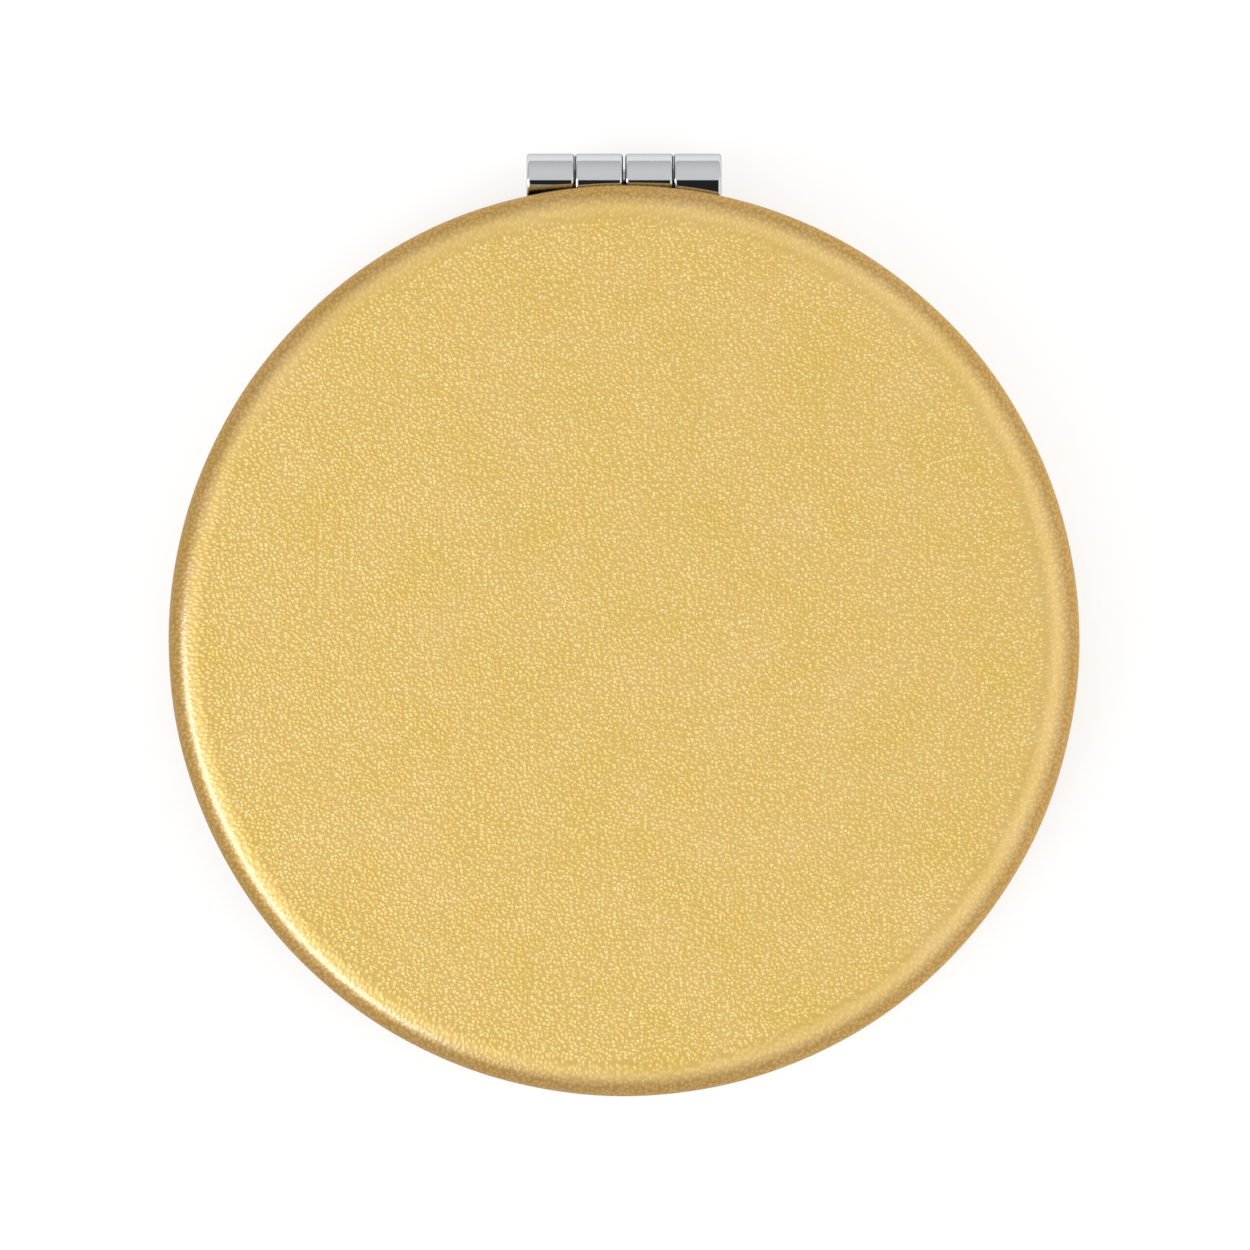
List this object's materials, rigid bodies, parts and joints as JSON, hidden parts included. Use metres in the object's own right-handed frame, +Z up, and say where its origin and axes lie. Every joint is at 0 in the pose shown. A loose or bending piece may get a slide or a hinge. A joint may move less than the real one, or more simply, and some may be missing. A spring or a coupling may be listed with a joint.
{
  "type": "compact mirror",
  "caption": "Round pocket compact that unfolds on a knuckled hinge to show a plain and a magnifying mirror in plated trays, covered in grained metallic leather.",
  "frame": {"origin": "centre of the base's outer flat face, which the closed compact lies on", "axes": "+Z up out of the lid along the axis of the round covers, +Y towards the hinge, +X along the hinge to the right when the lid is seen from above with the hinge at the top"},
  "size_m": [0.07, 0.0725, 0.01],
  "materials": {
    "gold_leather": "satin",
    "foam": "matte",
    "shell_steel": "satin",
    "plated_tray": "polished",
    "mirror_glass": "polished",
    "tape": "matte",
    "plated_hinge": "polished",
    "rivet_steel": "satin",
    "magnet": "satin",
    "pin_steel": "polished"
  },
  "bodies": {
    "base": {"base_leather_cover": "gold_leather", "base_foam_pad": "foam", "base_shell": "shell_steel", "base_mirror_tray": "plated_tray", "base_magnifying_mirror": "mirror_glass", "base_mirror_tape": "tape", "base_hinge_leaf": "plated_hinge", "base_hinge_rivets": "rivet_steel", "base_magnet": "magnet", "hinge_pin": "pin_steel"},
    "lid": {"lid_leather_cover": "gold_leather", "lid_foam_pad": "foam", "lid_shell": "shell_steel", "lid_mirror_tray": "plated_tray", "lid_plain_mirror": "mirror_glass", "lid_mirror_tape": "tape", "lid_hinge_leaf": "plated_hinge", "lid_hinge_rivets": "rivet_steel", "lid_magnet": "magnet"}
  },
  "joints": [
    {"name": "lid_hinge", "type": "hinge", "parent": "base", "child": "lid", "pos_m": [0, 0.03555, 0.005], "axis": [-1, 0, 0], "range_deg": [0, 180]}
  ]
}
